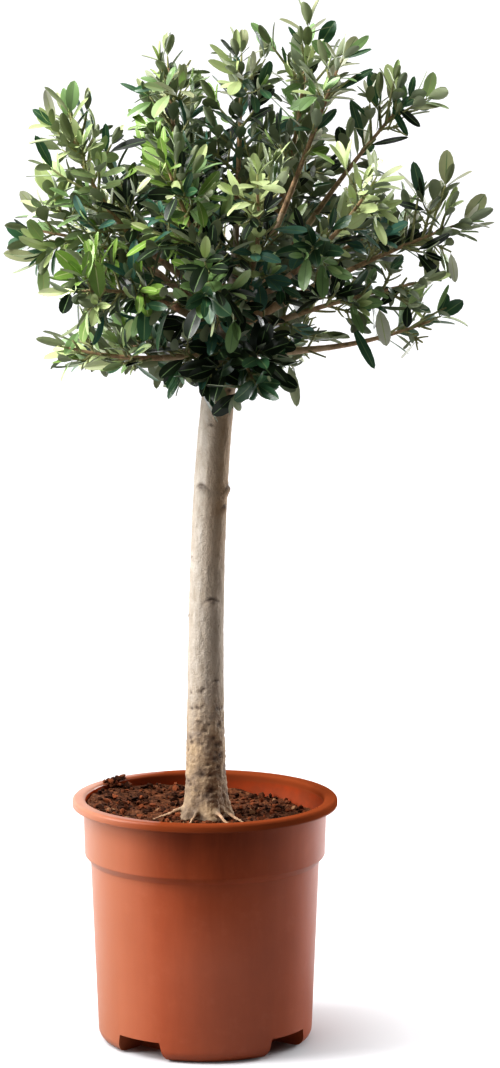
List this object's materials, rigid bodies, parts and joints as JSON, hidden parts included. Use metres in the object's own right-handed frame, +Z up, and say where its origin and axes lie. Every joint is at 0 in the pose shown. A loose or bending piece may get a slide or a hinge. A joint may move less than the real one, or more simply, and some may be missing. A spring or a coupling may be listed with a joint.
{
  "type": "potted standard olive tree",
  "caption": "Small standard olive tree: a bare, slightly leaning stem with surface roots under a loose, round, leafy crown, in a tapered plastic nursery pot filled with soil.",
  "frame": {"origin": "centre of the pot's flat underside", "axes": "+Z up, -Y is the front that the picture shows, +X to the right of a person who faces that front"},
  "size_m": [0.3489, 0.2963, 0.7445],
  "materials": {
    "pot": "satin terracotta-coloured plastic",
    "soil": "dark crumbly potting soil",
    "bark": "grey-brown bark with knots",
    "bough": "grey-brown young bark",
    "foliage": "satin green leaves, paler beneath"
  },
  "bodies": {
    "root": {"pot": "pot", "soil": "soil", "trunk": "bark", "bough_back": "bough", "bough_back_left": "bough", "bough_back_low_left": "bough", "bough_back_low_right": "bough", "bough_back_right": "bough", "bough_back_top_left": "bough", "bough_back_top_right": "bough", "bough_far_left": "bough", "bough_front_high": "bough", "bough_front_low": "bough", "bough_front_right": "bough", "bough_left_shoulder": "bough", "bough_low_left": "bough", "bough_low_right": "bough", "bough_mid_left": "bough", "bough_right_arm": "bough", "bough_right_middle": "bough", "bough_right_shoulder": "bough", "bough_spire": "bough", "bough_top_left": "bough", "bough_top_middle": "bough", "bough_top_right": "bough", "bough_upper_right": "bough", "foliage_back": "foliage", "foliage_back_left": "foliage", "foliage_back_low_left": "foliage", "foliage_back_low_right": "foliage", "foliage_back_right": "foliage", "foliage_back_top_left": "foliage", "foliage_back_top_right": "foliage", "foliage_far_left": "foliage", "foliage_front_high": "foliage", "foliage_front_low": "foliage", "foliage_front_right": "foliage", "foliage_left_shoulder": "foliage", "foliage_low_left": "foliage", "foliage_low_right": "foliage", "foliage_mid_left": "foliage", "foliage_right_arm": "foliage", "foliage_right_middle": "foliage", "foliage_right_shoulder": "foliage", "foliage_spire": "foliage", "foliage_top_left": "foliage", "foliage_top_middle": "foliage", "foliage_top_right": "foliage", "foliage_under_front": "foliage", "foliage_under_left": "foliage", "foliage_upper_right": "foliage"}
  },
  "joints": []
}
